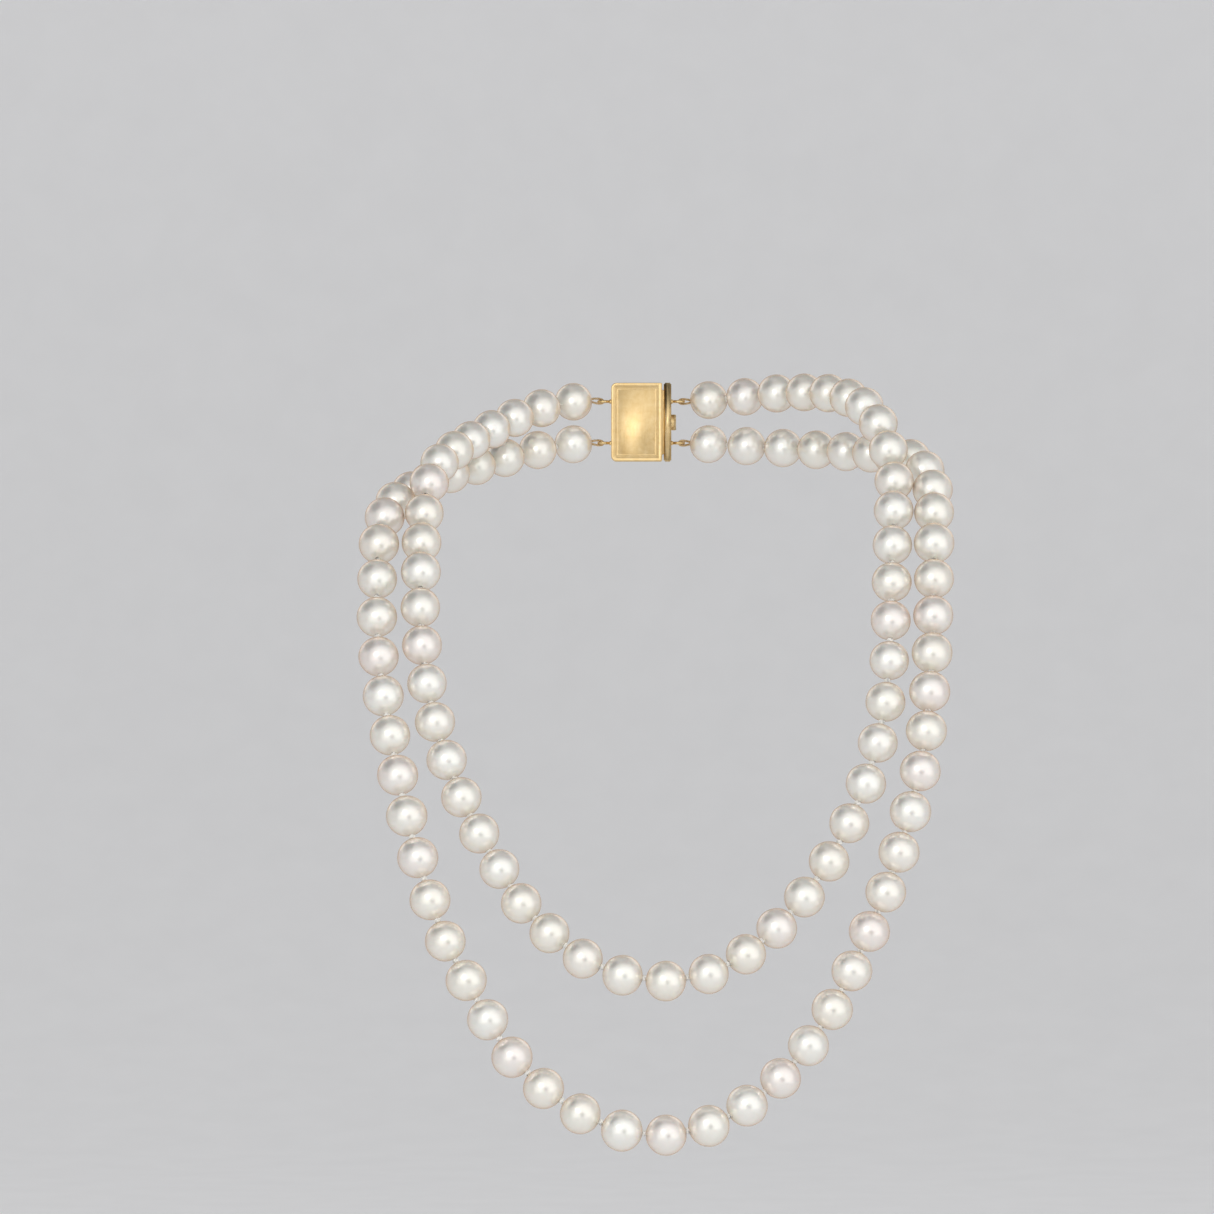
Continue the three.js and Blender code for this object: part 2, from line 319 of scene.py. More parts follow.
def nacre_material(name, cream, rose, film):
    """Nacre: a bright satin body that mirrors the light softly, under a thin sharp lustre."""
    material, nodes, links, shader = new_material(name)
    clouds = noise_node(nodes, links, 130, 2.0)
    tint = ramp_node(nodes, links, clouds.outputs["Fac"], [(0.32, rose), (0.62, cream)])
    links.new(tint.outputs["Color"], shader.inputs["Base Color"])
    haze = noise_node(nodes, links, 420, 4.0)
    roughness_range(nodes, links, haze.outputs["Fac"], shader, 0.21, 0.27)
    skin = noise_node(nodes, links, 1300, 6.0, 0.55)
    bump(nodes, links, shader, skin.outputs["Fac"], 0.08, 0.0004)
    set_inputs(
        shader, Metallic=0.55, IOR=1.56, Subsurface_Weight=0.15, Subsurface_Scale=0.0012,
        Coat_Weight=0.4, Coat_Roughness=0.12, Coat_IOR=1.6,
        Sheen_Weight=0.25, Sheen_Roughness=0.5,
        Thin_Film_Thickness=film, Thin_Film_IOR=1.42,
    )
    shader.inputs["Subsurface Radius"].default_value = (1.0, 0.62, 0.45)
    shader.inputs["Specular Tint"].default_value = (0.58, 0.37, 0.16, 1)
    shader.inputs["Sheen Tint"].default_value = (0.68, 0.42, 0.24, 1)
    shader.inputs["Coat Tint"].default_value = (1.0, 0.972, 0.93, 1)
    return material


NACRES = [
    nacre_material("nacre_cream", (0.93, 0.925, 0.88), (0.93, 0.90, 0.855), 345),
    nacre_material("nacre_ivory", (0.93, 0.92, 0.865), (0.93, 0.895, 0.84), 360),
    nacre_material("nacre_rose", (0.93, 0.91, 0.88), (0.93, 0.875, 0.85), 330),
    nacre_material("nacre_white", (0.94, 0.94, 0.905), (0.93, 0.915, 0.88), 350),
]


def silk_material():
    """Twisted ivory silk: fine fibres across the thread, soft and dull."""
    material, nodes, links, shader = new_material("silk")
    fibres = noise_node(nodes, links, 5200, 6.0, 0.7)
    tint = ramp_node(
        nodes, links, fibres.outputs["Fac"], [(0.3, (0.92, 0.90, 0.84)), (0.7, (0.98, 0.97, 0.94))])
    links.new(tint.outputs["Color"], shader.inputs["Base Color"])
    bump(nodes, links, shader, fibres.outputs["Fac"], 0.3, 0.00006)
    set_inputs(shader, Roughness=0.62, Sheen_Weight=0.3, Sheen_Roughness=0.4,
               Subsurface_Weight=0.35, Subsurface_Scale=0.0005)
    shader.inputs["Subsurface Radius"].default_value = (1.0, 0.95, 0.85)
    return material


def gold_material(name, dark, light, rough_low, rough_high, scratch, grain=(1, 1, 1)):
    """Yellow gold with the fine scratches of a worn clasp, or with a brushed grain."""
    material, nodes, links, shader = new_material(name)
    wear = noise_node(nodes, links, 700, 5.0, 0.6)
    tint = ramp_node(nodes, links, wear.outputs["Fac"], [(0.3, dark), (0.7, light)])
    links.new(tint.outputs["Color"], shader.inputs["Base Color"])
    roughness_range(nodes, links, wear.outputs["Fac"], shader, rough_low, rough_high)
    lines = noise_node(nodes, links, 4200, 3.0, 0.5, grain)
    bump(nodes, links, shader, lines.outputs["Fac"], scratch, 0.00004)
    set_inputs(shader, Metallic=1.0)
    return material


SILK = silk_material()
GOLD = gold_material("gold_polished", (0.74, 0.52, 0.24), (0.86, 0.66, 0.36), 0.14, 0.30, 0.25)
GOLD_SATIN = gold_material(
    "gold_satin", (0.70, 0.49, 0.22), (0.82, 0.62, 0.33), 0.26, 0.40, 0.6, grain=(2.2, 2.2, 0.04))
GOLD_WIRE = gold_material("gold_wire", (0.72, 0.52, 0.26), (0.84, 0.65, 0.38), 0.2, 0.34, 0.2)


# ---- Pieces -------------------------------------------------------------------------------

def add_piece(name, vertices, faces, material, body, nodes):
    """A mesh in the row's frame as a piece of the object, riding on its body."""
    mesh = bpy.data.meshes.new(name)
    mesh.from_pydata([tuple(v) for v in vertices], [], faces)
    mesh.polygons.foreach_set("use_smooth", [True] * len(faces))
    mesh.materials.append(material)
    mesh.update()
    piece = bpy.data.objects.new(name, mesh)
    scene.collection.objects.link(piece)
    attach(piece, body)
    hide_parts(*nodes)


def grid_faces(rows, columns, close_rows=False):
    """Quads between neighbouring rows of points, each row closed on itself."""
    faces = []
    for row in range(rows if close_rows else rows - 1):
        for column in range(columns):
            here = row * columns
            above = (row + 1) % rows * columns
            side = (column + 1) % columns
            faces.append((here + column, here + side, above + side, above + column))
    return faces


def turned_to(direction):
    """The rotation that takes +Z to a direction."""
    return Vector((0, 0, 1)).rotation_difference(direction).to_matrix()


# ---- Pearls -------------------------------------------------------------------------------

def pearl_outline(radius):
    """Half a drilled pearl's section, from the middle of its hole round to the same again."""
    rim = math.asin(DRILL_RADIUS / radius)
    near_rim = rim + RIM_STEP
    angles = [rim]
    for row in range(PEARL_ROWS + 1):
        angles.append(near_rim + (math.pi - 2 * near_rim) * row / PEARL_ROWS)
    angles.append(math.pi - rim)
    outline = [(radius * math.sin(angle), radius * math.cos(angle)) for angle in angles]
    end = outline[-1][1]
    wall = [(DRILL_RADIUS * 0.94, end * share) for share in (0.96, 0.5, 0.0, -0.5, -0.96)]
    return outline + wall


def add_pearl(name, centre, along, diameter, body, node, dice):
    """One drilled pearl: nearly round, each a little different in size, shape and tint."""
    radius = diameter / 2 * dice.uniform(0.985, 1.01)
    squash = dice.uniform(0.985, 1.0)
    lobe = dice.uniform(0.02, 0.06)
    seed = Vector((dice.uniform(0, 90), dice.uniform(0, 90), dice.uniform(0, 90)))
    turn = turned_to(along) @ Matrix.Rotation(dice.uniform(0, math.tau), 3, "Z")
    outline = pearl_outline(radius)
    vertices = []
    for across, up in outline:
        for step in range(PEARL_SEGMENTS):
            angle = math.tau * step / PEARL_SEGMENTS
            point = Vector((across * math.cos(angle), across * math.sin(angle), up * squash))
            swell = lobe * noise.noise(point * 0.28 + seed) + 0.012 * noise.noise(point * 1.3 - seed)
            if across > DRILL_RADIUS:
                point += point.normalized() * (swell - 0.02)
            vertices.append(turn @ point * MM + centre)
    faces = grid_faces(len(outline), PEARL_SEGMENTS, close_rows=True)
    nacre = dice.choices(NACRES, weights=(4, 3, 3, 3))[0]
    add_piece(name, vertices, [tuple(reversed(f)) for f in faces], nacre, body, [node])


# ---- Silk ---------------------------------------------------------------------------------

def tube(path, radius, sides, closed=True):
    """A round tube swept along a path of points, as vertices and faces."""
    count = len(path)
    vertices = []
    side_way = None
    for i, point in enumerate(path):
        after = path[(i + 1) % count] if closed or i + 1 < count else point
        before = path[i - 1] if closed or i > 0 else point
        ahead = (after - before).normalized()
        if side_way is None:
            side_way = ahead.orthogonal().normalized()
        side_way = (side_way - ahead * side_way.dot(ahead)).normalized()
        other = ahead.cross(side_way)
        size = radius(i / count) if callable(radius) else radius
        for step in range(sides):
            angle = math.tau * step / sides
            vertices.append(point + (side_way * math.cos(angle) + other * math.sin(angle)) * size)
    faces = grid_faces(count, sides, close_rows=closed)
    if not closed:
        faces.append(tuple(range(sides))[::-1])
        faces.append(tuple(range((count - 1) * sides, count * sides)))
    return vertices, faces


def join_shapes(shapes):
    """Several shapes as one."""
    vertices = []
    faces = []
    for more_vertices, more_faces in shapes:
        start = len(vertices)
        vertices += more_vertices
        faces += [tuple(start + i for i in face) for face in more_faces]
    return vertices, faces


def knot_shape(gap, dice):
    """An overhand knot pulled tight between two pearls, its axis along +Z, in millimetres."""
    flatten = (gap * 0.5 + KNOT_SINK) / (KNOT_SWELL + THREAD_RADIUS)
    start = dice.uniform(0, math.tau)
    path = []
    for step in range(KNOT_STEPS):
        turn = math.tau * step / KNOT_STEPS
        reach = KNOT_LOOP + KNOT_SWELL * math.cos(3 * turn)
        path.append(Vector((
            reach * math.cos(2 * turn + start),
            reach * math.sin(2 * turn + start),
            KNOT_SWELL * math.sin(3 * turn))))
    vertices, faces = tube(path, THREAD_RADIUS, 7)
    knot = ([Vector((v.x, v.y, v.z * flatten)) for v in vertices], faces)
    reach = gap / 2 + 0.9
    core = [Vector((0, 0, -reach + 2 * reach * i / 6)) for i in range(7)]
    return [knot, tube(core, CORE_RADIUS, 10, closed=False)]


def fibre_shape(dice):
    """A loose end of silk fibre standing out of a knot."""
    out = Vector((dice.uniform(-1, 1), dice.uniform(-1, 1), dice.uniform(-0.2, 0.2))).normalized()
    curl = Vector((dice.uniform(-1, 1), dice.uniform(-1, 1), dice.uniform(-1, 1))) * 0.35
    length = dice.uniform(0.9, 1.7)
    path = [out * (0.5 + length * t / 6) + curl * (t / 6) ** 2 for t in range(7)]
    return tube(path, lambda share: FIBRE_RADIUS * (1.15 - share), 5, closed=False)


def add_knot(name, before, after, diameter, body, node, dice):
    """The knot between two neighbouring pearls."""
    along = after - before
    gap = along.length / MM - diameter
    shapes = knot_shape(gap, dice)
    if dice.random() < FIBRE_SHARE:
        shapes.append(fibre_shape(dice))
    vertices, faces = join_shapes(shapes)
    turn = turned_to(along.normalized())
    middle = before.lerp(after, 0.5)
    vertices = [turn @ v * MM + middle for v in vertices]
    add_piece(name, vertices, faces, SILK, body, [node])


def add_strand(strand):
    """A strand's pearls and knots. Returns where its end pearls' holes open towards the clasp."""
    dice = random.Random({"inner": 41, "outer": 67}[strand])
    diameter = PEARL_DIAMETER[strand]
    pearls = strand_places(strand)
    height = ROW_HEIGHT if strand == "inner" else -ROW_HEIGHT
    ends = [Vector((side * STRAND_END_X, CLASP_MID_Y, height)) * MM for side in (-1, 1)]
    holes = {}
    for i, (centre, body, node) in enumerate(pearls):
        # an end pearl's hole points as far past its wire loop as it does past its first knot
        before = pearls[i - 1][0] if i > 0 else centre + 2 * (ends[0] - centre)
        after = pearls[i + 1][0] if i + 1 < len(pearls) else centre + 2 * (ends[1] - centre)
        along = (after - before).normalized()
        if i == 0:
            holes["left"] = centre / MM - along * diameter / 2
        if i + 1 == len(pearls):
            holes["right"] = centre / MM + along * diameter / 2
        add_pearl(f"{strand}_pearl_{i + 1:02d}", centre, along, diameter, body, node,
                  dice)
    for i, ((here, body, node), (there, _, _)) in enumerate(zip(pearls, pearls[1:])):
        add_knot(f"{strand}_knot_{i + 1:02d}", here, there, diameter, body, node, dice)
    return holes


HOLES = {strand: add_strand(strand) for strand in ("inner", "outer")}


# ---- Clasp --------------------------------------------------------------------------------

def clasp_piece(name, shape, body, nodes, material=GOLD):
    """A piece of the clasp from a shape in millimetres."""
    vertices, faces = shape
    add_piece(name, [Vector(v) * MM for v in vertices], faces, material, body, nodes)


def rounded_outline(left, right, half_height, corner, steps=8, right_corner=None):
    """A rounded rectangle in X and Z, anticlockwise when seen from -Y."""
    outline = []
    right_corner = corner if right_corner is None else right_corner
    corners = [(right, -half_height, 270, right_corner), (right, half_height, 0, right_corner),
               (left, half_height, 90, corner), (left, -half_height, 180, corner)]
    for x, z, start, round_off in corners:
        centre_x = x - math.copysign(round_off, x - (left + right) / 2)
        centre_z = z - math.copysign(round_off, z)
        for step in range(steps + 1):
            angle = math.radians(start + 90 * step / steps)
            outline.append((centre_x + round_off * math.cos(angle),
                            centre_z + round_off * math.sin(angle)))
    return outline


def soft_plate(left, right, half_height, corner, low, high, edge, right_corner=None, border=()):
    """A plate from low to high in Y with rounded edges, and any border lines cut in its low face."""
    levels = []
    for step in range(4):
        angle = math.pi / 2 * step / 3
        levels.append((edge * (1 - math.sin(angle)), low + edge * (1 - math.cos(angle))))
    levels += [(inset, low + high - y) for inset, y in reversed(levels)]
    levels = [(inset, low + depth) for inset, depth in reversed(border)] + levels
    right_corner = corner if right_corner is None else right_corner
    vertices = []
    for inset, y in levels:
        outline = rounded_outline(left + inset, right - inset, half_height - inset,
                                  max(corner - inset, MIN_CORNER),
                                  right_corner=max(right_corner - inset, MIN_CORNER))
        vertices += [(x, y, z) for x, z in outline]
    count = len(vertices) // len(levels)
    faces = grid_faces(len(levels), count)
    faces.append(tuple(range(count))[::-1])
    faces.append(tuple(range((len(levels) - 1) * count, len(levels) * count)))
    return vertices, faces


def soft_prism(outline, low, high, edge):
    """An outline in X and Y, extruded along Z, with small rounded edges."""
    work = bmesh.new()
    base = work.faces.new([work.verts.new((x, y, low)) for x, y in outline])
    moved = bmesh.ops.extrude_face_region(work, geom=[base])["geom"]
    bmesh.ops.translate(
        work, vec=(0, 0, high - low), verts=[v for v in moved if isinstance(v, bmesh.types.BMVert)])
    bmesh.ops.recalc_face_normals(work, faces=work.faces)
    bmesh.ops.bevel(
        work, geom=list(work.edges), offset=edge, segments=3, affect="EDGES", clamp_overlap=True)
    work.verts.index_update()
    vertices = [tuple(v.co) for v in work.verts]
    faces = [tuple(v.index for v in f.verts) for f in work.faces]
    work.free()
    return vertices, faces


def ball(centre, radius):
    """A small bead."""
    work = bmesh.new()
    bmesh.ops.create_icosphere(work, subdivisions=2, radius=radius)
    vertices = [tuple(v.co + Vector(centre)) for v in work.verts]
    faces = [tuple(v.index for v in f.verts) for f in work.faces]
    work.free()
    return vertices, faces


def engraving(x, z):
    """How deep the lattice is cut at a point of the cover."""
    lattice = min(abs(math.sin((x + z) * LATTICE_TURN)), abs(math.sin((x - z) * LATTICE_TURN)))
    return LATTICE_DEPTH * max(0.0, 1 - (lattice / LATTICE_WIDTH) ** 2)


def cover_height(ring, x, z):
    """The cover's height at a point of one of its rings, which run from the edge inwards."""
    share = 1 - ring / COVER_RINGS
    rounded_edge = COVER_EDGE * min(1, ring / COVER_EDGE_RINGS)
    dome = COVER_DOME * (1 - share ** 2.2)
    height = CLASP_THICKNESS - COVER_SHOULDER + rounded_edge + dome
    if share < FIELD_SHARE:
        return height - engraving(x, z) * min(1, (FIELD_SHARE - share) / FIELD_FADE)
    if share < BORDER_SHARE:
        return height - BORDER_DEPTH
    return height


def cover_shape():
    """The cover: a low dome with an engraved lattice field inside a cut line."""
    middle = (BOX_LEFT + BOX_MOUTH) / 2
    outline = rounded_outline(BOX_LEFT, BOX_MOUTH, CLASP_HALF_HEIGHT, BOX_CORNER, 14, MOUTH_CORNER)
    dense = []
    for a, b in zip(outline, outline[1:] + outline[:1]):
        pieces = max(1, round(math.dist(a, b) / COVER_POINT_GAP))
        dense += [(a[0] + (b[0] - a[0]) * i / pieces, a[1] + (b[1] - a[1]) * i / pieces)
                  for i in range(pieces)]
    count = len(dense)
    foot = CLASP_THICKNESS - PLATE
    vertices = [(middle + (x - middle) * 0.985, foot, z * 0.99) for x, z in dense]
    vertices += [(x, foot + 0.12, z) for x, z in dense]
    for ring in range(COVER_RINGS):
        share = 1 - ring / COVER_RINGS
        for x, z in dense:
            px = middle + (x - middle) * share
            pz = z * share
            vertices.append((px, cover_height(ring, px, pz), pz))
    tip = len(vertices)
    vertices.append((middle, cover_height(COVER_RINGS, middle, 0), 0))
    rows = COVER_RINGS + 2
    faces = grid_faces(rows, count)
    last = (rows - 1) * count
    faces += [(last + i, last + (i + 1) % count, tip) for i in range(count)]
    faces.append(tuple(range(count))[::-1])
    return vertices, faces


def milgrain():
    """A row of tiny beads round the cover's border."""
    outline = rounded_outline(BOX_LEFT + BEAD_INSET, BOX_MOUTH - BEAD_INSET,
                              CLASP_HALF_HEIGHT - BEAD_INSET, 0.9, 5)
    beads = []
    carried = 0.0
    for a, b in zip(outline, outline[1:] + outline[:1]):
        length = math.dist(a, b)
        while carried < length:
            share = carried / length
            x = a[0] + (b[0] - a[0]) * share
            z = a[1] + (b[1] - a[1]) * share
            beads.append(ball((x, CLASP_THICKNESS - 0.08, z), BEAD_RADIUS))
            carried += BEAD_PITCH
        carried -= length
    return join_shapes(beads)


def add_clasp_box():
    """The box half: back plate, cover with its beading, side band and catch lip."""
    body = "left_nape"
    back = soft_plate(BOX_LEFT, BOX_MOUTH, CLASP_HALF_HEIGHT, BOX_CORNER, 0.0, PLATE, PLATE_EDGE,
                      MOUTH_CORNER, BACK_BORDER)
    clasp_piece("clasp_back", back, body, ["clasp_back_plate"], GOLD_SATIN)
    clasp_piece("clasp_cover_engraved", cover_shape(), body, ["clasp_cover"])
    clasp_piece("clasp_cover_beading", milgrain(), body, ["clasp_cover"])
    clasp_piece("clasp_side_band", side_band(), body,
                ["clasp_upper_wall", "clasp_lower_wall", "clasp_end_wall"])
    left, right = CATCH_LIP_X
    low, high = CATCH_LIP_Y
    lip = soft_prism([(left, low), (right, low), (right, high), (left, high)],
                     -CATCH_LIP_HALF_HEIGHT, CATCH_LIP_HALF_HEIGHT, 0.12)
    clasp_piece("clasp_lip", lip, body, ["clasp_catch_lip"], GOLD_SATIN)


def side_band():
    """The band round three sides of the box: upper, end and lower wall in one, open at the mouth."""
    far_side = BOX_MOUTH + 3  # beyond the mouth, where the outlines' right corners are dropped
    outer = rounded_outline(BOX_LEFT, far_side, CLASP_HALF_HEIGHT, BOX_CORNER)
    inner = rounded_outline(BOX_LEFT + PLATE, far_side + PLATE, CLASP_HALF_HEIGHT - PLATE,
                            BOX_INNER_CORNER)
    mouth = BOX_MOUTH - 0.15
    steps = len(outer) // 4
    path_outer = [(mouth, CLASP_HALF_HEIGHT)] + outer[2 * steps:] + [(mouth, -CLASP_HALF_HEIGHT)]
    path_inner = [(mouth, CLASP_HALF_HEIGHT - PLATE)] + inner[2 * steps:]
    path_inner.append((mouth, -CLASP_HALF_HEIGHT + PLATE))
    low = PLATE - BAND_OVERLAP
    high = CLASP_THICKNESS - PLATE + BAND_OVERLAP
    vertices = []
    for (ox, oz), (ix, iz) in zip(path_outer, path_inner):
        vertices += [(ox, low, oz), (ox, high, oz), (ix, high, iz), (ix, low, iz)]
    count = len(path_outer)
    faces = grid_faces(count, 4)
    faces.append((3, 2, 1, 0))
    last = (count - 1) * 4
    faces.append((last, last + 1, last + 2, last + 3))
    return vertices, faces


def add_clasp_tongue():
    """The tongue half: tongue, end bar, and the folded spring leaf with its thumb tab."""
    body = "right_nape"
    tongue = soft_plate(TONGUE_TIP, END_BAR_LEFT + 0.1, TONGUE_HALF_HEIGHT, 0.6, *TONGUE_Y, 0.1)
    clasp_piece("clasp_tongue_leaf", tongue, body, ["clasp_tongue"], GOLD_SATIN)
    clasp_piece("clasp_bar", end_bar(), body, ["clasp_end_bar"])
    outline = [(-5.0, 1.5), (2.9, 3.1), (2.9, 3.45), (-5.0, 1.95), (TONGUE_TIP, 1.75)]
    leaf = soft_prism(outline, -LEAF_HALF_HEIGHT, LEAF_HALF_HEIGHT, 0.08)
    clasp_piece("clasp_spring", leaf, "clasp_spring", ["clasp_spring_leaf"], GOLD_SATIN)
    clasp_piece("clasp_tab", thumb_tab(), "clasp_spring", ["clasp_thumb_tab"])


def end_bar():
    """The bar at the tongue's root, with its cut-out for the thumb tab."""
    notch = THUMB_TAB_WIDTH / 2 + 0.5
    outline = [(0, -CLASP_HALF_HEIGHT), (CLASP_THICKNESS, -CLASP_HALF_HEIGHT),
               (CLASP_THICKNESS, -notch), (NOTCH_FLOOR, -notch), (NOTCH_FLOOR, notch),
               (CLASP_THICKNESS, notch),
               (CLASP_THICKNESS, CLASP_HALF_HEIGHT), (0, CLASP_HALF_HEIGHT)]
    vertices, faces = soft_prism(outline, END_BAR_LEFT, END_BAR_RIGHT, 0.25)
    return [(z, x, y) for x, y, z in vertices], faces


def thumb_tab():
    """The tab that a thumb presses, curled up at its end and ribbed for grip."""
    tab = [(3.0, 2.15), (4.6, 2.15), (4.9, 2.6), (6.9, 2.6), (7.5, 3.1), (7.6, 3.9), (7.2, 4.0),
           (6.6, 3.3), (4.6, 3.2), (4.3, 2.65), (3.0, 2.65)]
    half = THUMB_TAB_WIDTH / 2
    shapes = [soft_prism(tab, -half, half, 0.09)]
    for rib in range(TAB_RIBS):
        x = END_BAR_LEFT + TAB_RIB_PITCH * rib
        path = [Vector((x, 3.22 + 0.02 * rib, -half + 0.3 + (THUMB_TAB_WIDTH - 0.6) * i / 8))
                for i in range(9)]
        shapes.append(tube(path, 0.11, 8, closed=False))
    return join_shapes(shapes)


def add_rings(side, direction, face):
    """A soldered ring for each strand, and the strand's loop of coiled gold wire through it."""
    body = f"{side}_nape"
    for row, strand, height in (("upper", "inner", ROW_HEIGHT), ("lower", "outer", -ROW_HEIGHT)):
        centre = Vector((face + direction * RING_REACH, CLASP_MID_Y, height))
        angles = [math.tau * i / RING_STEPS for i in range(RING_STEPS)]
        path = [centre + Vector((RING_RADIUS * math.cos(angle), RING_RADIUS * math.sin(angle), 0))
                for angle in angles]
        solder = ball((face + direction * 0.12, CLASP_MID_Y, height), SOLDER_RADIUS)
        ring = join_shapes([tube(path, RING_WIRE, 12), solder])
        clasp_piece(f"clasp_{side}_{row}_ring", ring, body, [f"clasp_{side}_ring_{row}"])
        vertices, faces = bullion_loop(direction, height, HOLES[strand][side])
        add_piece(f"{strand}_{side}_french_wire", [v * MM for v in vertices], faces, GOLD_WIRE, body,
                  [f"{strand}_{side}_bullion"])


def bullion_loop(direction, height, hole):
    """Fine wire coiled round the silk, from the end pearl's hole through the ring and back."""
    steps = FRENCH_WIRE_TURNS * FRENCH_WIRE_STEPS
    path = []
    tip = STRAND_END_X - FRENCH_WIRE_REACH
    root = abs(hole.x) + FRENCH_WIRE_ROOT
    for i in range(steps + 1):
        share = i / steps
        angle = (share - 0.5) * 2.0 * math.pi * 0.97
        along = (1 + math.cos(angle)) / 2
        x = root - (root - tip) * along
        width = FRENCH_WIRE_HALF_WIDTH * math.sin(angle) * (0.35 + 0.65 * along)
        centre = Vector((direction * x, CLASP_MID_Y + (hole.y - CLASP_MID_Y) * (1 - along),
                         height + width + (hole.z - height) * (1 - along)))
        ahead = Vector((direction * math.sin(angle), 0, math.cos(angle) * 0.8 + 0.01)).normalized()
        out = Vector((0, 1, 0))
        other = ahead.cross(out).normalized()
        coil = math.tau * FRENCH_WIRE_TURNS * share
        path.append(centre + (out * math.cos(coil) + other * math.sin(coil)) * FRENCH_WIRE_COIL)
    return tube(path, FRENCH_WIRE_RADIUS, 5, closed=False)


add_clasp_box()
add_clasp_tongue()
add_rings("left", -1, BOX_LEFT)
add_rings("right", 1, END_BAR_RIGHT)


# ---- Studio -------------------------------------------------------------------------------

FLOOR_HEIGHT = -0.30
STAGE_CENTRE = Vector((0, -0.05))
STAGE_RADIUS = 2.2
STAGE_BEND = 0.6
STAGE_TOP = 2.0
STAGE_SEGMENTS = 96
STUDIO_CENTRE = Vector((0, -0.07, -0.07))
TENT_RADIUS = 0.7
TENT_OPENING = (1, 80)  # in degrees from the dome's middle: its small top hole and its rim
TENT_RINGS = 14
TENT_COLUMNS = 36
CARD_COLUMNS = 48
CARD_MIDDLE = 0.2  # the evenly dark middle of a card, as a share of its radius


def add_stage():
    """A pale round floor that curves up all round into a wall, so that every view has it."""
    outline = [(0.02, FLOOR_HEIGHT), (0.8, FLOOR_HEIGHT), (STAGE_RADIUS - STAGE_BEND, FLOOR_HEIGHT)]
    for step in range(1, 17):
        angle = math.pi / 2 * step / 16
        outline.append((STAGE_RADIUS - STAGE_BEND + STAGE_BEND * math.sin(angle),
                        FLOOR_HEIGHT + STAGE_BEND - STAGE_BEND * math.cos(angle)))
    outline.append((STAGE_RADIUS, STAGE_TOP))
    vertices = []
    for radius, height in outline:
        for step in range(STAGE_SEGMENTS):
            angle = math.tau * step / STAGE_SEGMENTS
            vertices.append((STAGE_CENTRE.x + radius * math.cos(angle),
                             STAGE_CENTRE.y + radius * math.sin(angle), height))
    faces = [tuple(reversed(face)) for face in grid_faces(len(outline), STAGE_SEGMENTS)]
    faces.append(tuple(range(STAGE_SEGMENTS)))
    mesh = bpy.data.meshes.new("stage")
    mesh.from_pydata(vertices, [], faces)
    mesh.polygons.foreach_set("use_smooth", [True] * len(faces))
    material, nodes, links, shader = new_material("stage_paper")
    grain = noise_node(nodes, links, 40, 2.0)
    tint = ramp_node(
        nodes, links, grain.outputs["Fac"], [(0.3, (0.59, 0.59, 0.60)), (0.7, (0.61, 0.61, 0.62))])
    links.new(tint.outputs["Color"], shader.inputs["Base Color"])
    set_inputs(shader, Roughness=0.9, Specular_IOR_Level=0.1, Emission_Strength=0.27)
    shader.inputs["Emission Color"].default_value = (1, 1, 1, 1)
    mesh.materials.append(material)
    floor = bpy.data.objects.new("stage", mesh)
    scene.collection.objects.link(floor)


def around(azimuth, elevation, distance):
    """A place round the necklace. Azimuth 0 is in front, and 90 to the wearer's left."""
    a, e = math.radians(azimuth), math.radians(elevation)
    way = Vector((math.sin(a) * math.cos(e), -math.cos(a) * math.cos(e), math.sin(e)))
    return STUDIO_CENTRE + way * distance, way


def add_softbox(name, azimuth, elevation, distance, diameter, radiance):
    """A round light that faces the necklace."""
    place, way = around(azimuth, elevation, distance)
    data = bpy.data.lights.new(name, "AREA")
    data.shape = "DISK"
    data.size = diameter
    data.energy = radiance * math.pi * (diameter / 2) ** 2 * math.pi
    light = bpy.data.objects.new(name, data)
    light.location = place
    light.rotation_euler = (-way).to_track_quat("-Z", "Y").to_euler()
    light.visible_camera = False
    scene.collection.objects.link(light)


def add_hidden(name, vertices, faces, material, place, way):
    """A piece of studio gear: it lights or darkens what the pearls mirror, and isn't seen itself."""
    mesh = bpy.data.meshes.new(name)
    mesh.from_pydata(vertices, [], faces)
    mesh.polygons.foreach_set("use_smooth", [True] * len(faces))
    mesh.materials.append(material)
    gear = bpy.data.objects.new(name, mesh)
    gear.location = place
    gear.rotation_euler = way.to_track_quat("Z", "Y").to_euler()
    gear.visible_camera = False
    gear.visible_shadow = False
    scene.collection.objects.link(gear)


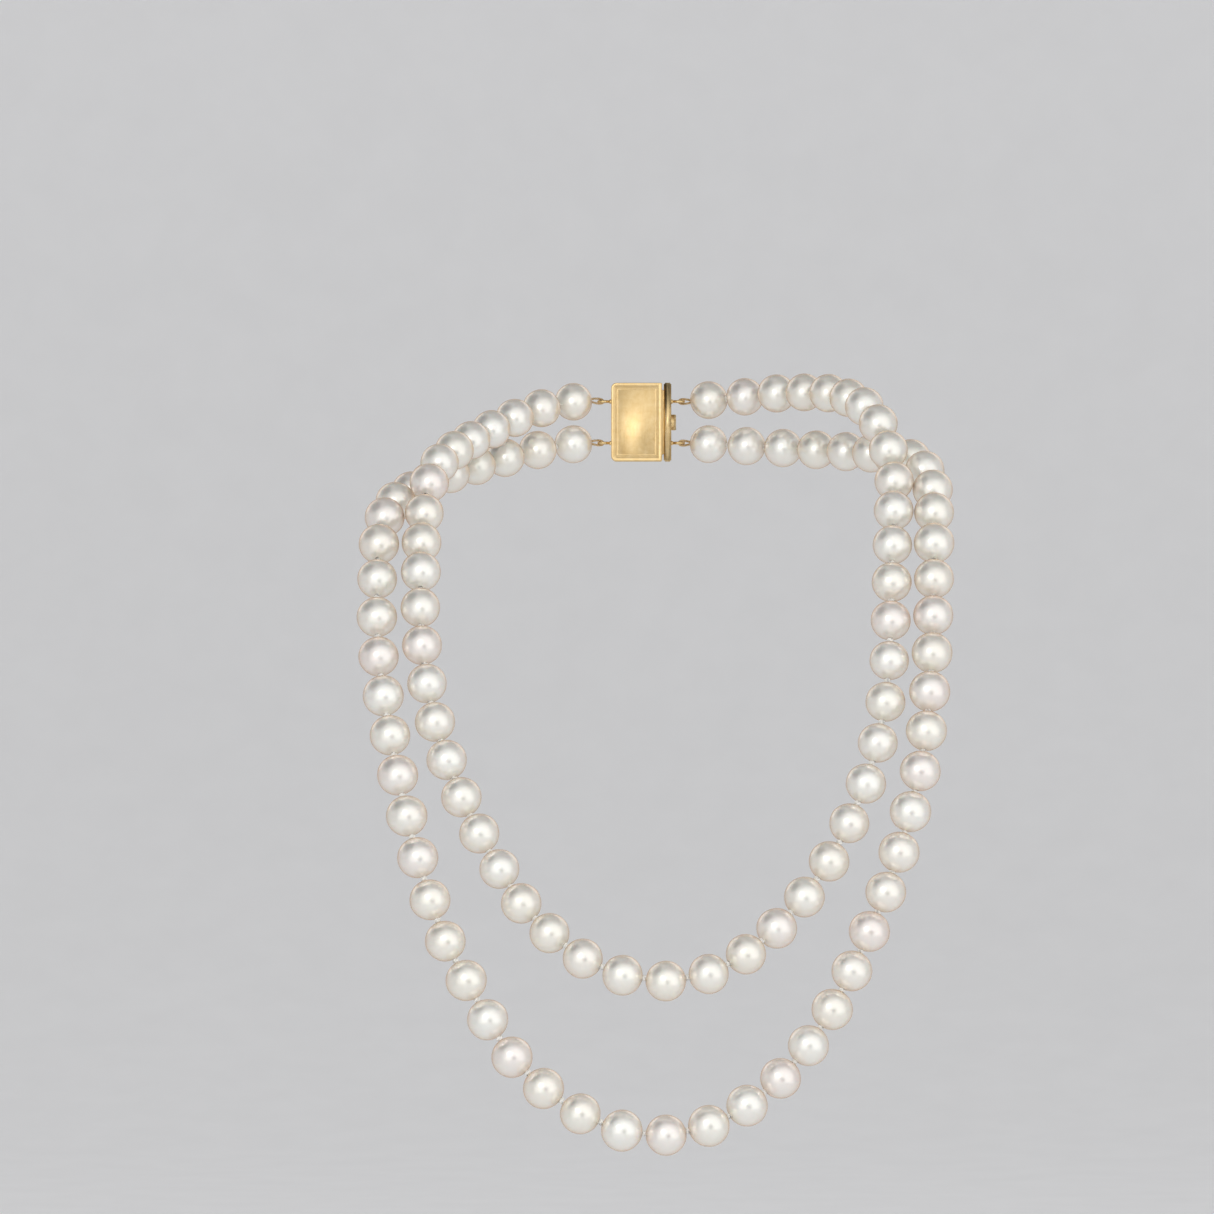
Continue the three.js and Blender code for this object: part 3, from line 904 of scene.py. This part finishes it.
def glow_material(name, coordinate, near, far, start, end):
    """A glow that changes smoothly from one strength to another along a coordinate."""
    material = bpy.data.materials.new(name)
    material.use_nodes = True
    nodes, links = material.node_tree.nodes, material.node_tree.links
    nodes.clear()
    output = nodes.new("ShaderNodeOutputMaterial")
    glow = nodes.new("ShaderNodeEmission")
    links.new(glow.outputs["Emission"], output.inputs["Surface"])
    place = nodes.new("ShaderNodeTexCoord")
    fall = nodes.new("ShaderNodeMapRange")
    fall.interpolation_type = "SMOOTHSTEP"
    for socket, value in (("From Min", near), ("From Max", far), ("To Min", start), ("To Max", end)):
        fall.inputs[socket].default_value = value
    if coordinate == "height":
        split = nodes.new("ShaderNodeSeparateXYZ")
        links.new(place.outputs["Object"], split.inputs["Vector"])
        links.new(split.outputs["Z"], fall.inputs["Value"])
    else:
        reach = nodes.new("ShaderNodeVectorMath")
        reach.operation = "LENGTH"
        links.new(place.outputs["Object"], reach.inputs[0])
        links.new(reach.outputs["Value"], fall.inputs["Value"])
    links.new(fall.outputs["Result"], glow.inputs["Strength"])
    return material


def add_tent():
    """A wide dome of lit cloth in front, brightest in its middle."""
    material = glow_material("tent_cloth", "height", 0.05, 0.6, 0.42, 1.22)
    inner, outer = TENT_OPENING
    vertices = []
    for ring in range(TENT_RINGS + 1):
        angle = math.radians(inner + (outer - inner) * ring / TENT_RINGS)
        across = TENT_RADIUS * math.sin(angle)
        for step in range(TENT_COLUMNS):
            turn = math.tau * step / TENT_COLUMNS
            vertices.append((across * math.cos(turn), across * math.sin(turn),
                             TENT_RADIUS * math.cos(angle)))
    _, way = around(14, -6, TENT_RADIUS)
    faces = grid_faces(TENT_RINGS + 1, TENT_COLUMNS)
    add_hidden("tent", vertices, faces, material, STUDIO_CENTRE, way)


def add_card(name, azimuth, elevation, distance, radius, middle_glow, edge_glow):
    """A round card that pearls mirror as a soft patch, darker than the tent."""
    place, way = around(azimuth, elevation, distance)
    angles = [math.tau * i / CARD_COLUMNS for i in range(CARD_COLUMNS)]
    vertices = [(radius * math.cos(angle), radius * math.sin(angle), 0) for angle in angles]
    material = glow_material(name, "reach", CARD_MIDDLE * radius, radius, middle_glow, edge_glow)
    add_hidden(name, vertices, [tuple(range(CARD_COLUMNS))], material, place, way)


def add_lights():
    """A key up and left of the camera, softer light from behind, and the cards."""
    add_softbox("key", -16, 16, 0.6, 0.22, 2.2)
    add_softbox("back_left", -140, 28, 1.5, 1.0, 0.5)
    add_softbox("back_right", 150, 28, 1.5, 1.0, 0.5)
    add_card("lens_card", 11, -9, 0.6, 0.20, 0.30, 1.2)
    add_card("dark_flag", -86, 50, 0.8, 0.60, 0.06, 0.5)
    world = bpy.data.worlds.new("world")
    world.use_nodes = True
    background = world.node_tree.nodes["Background"]
    background.inputs["Color"].default_value = (1, 1, 1, 1)
    background.inputs["Strength"].default_value = 0.3
    scene.world = world


add_stage()
add_tent()
add_lights()
scene.view_settings.view_transform = "Standard"
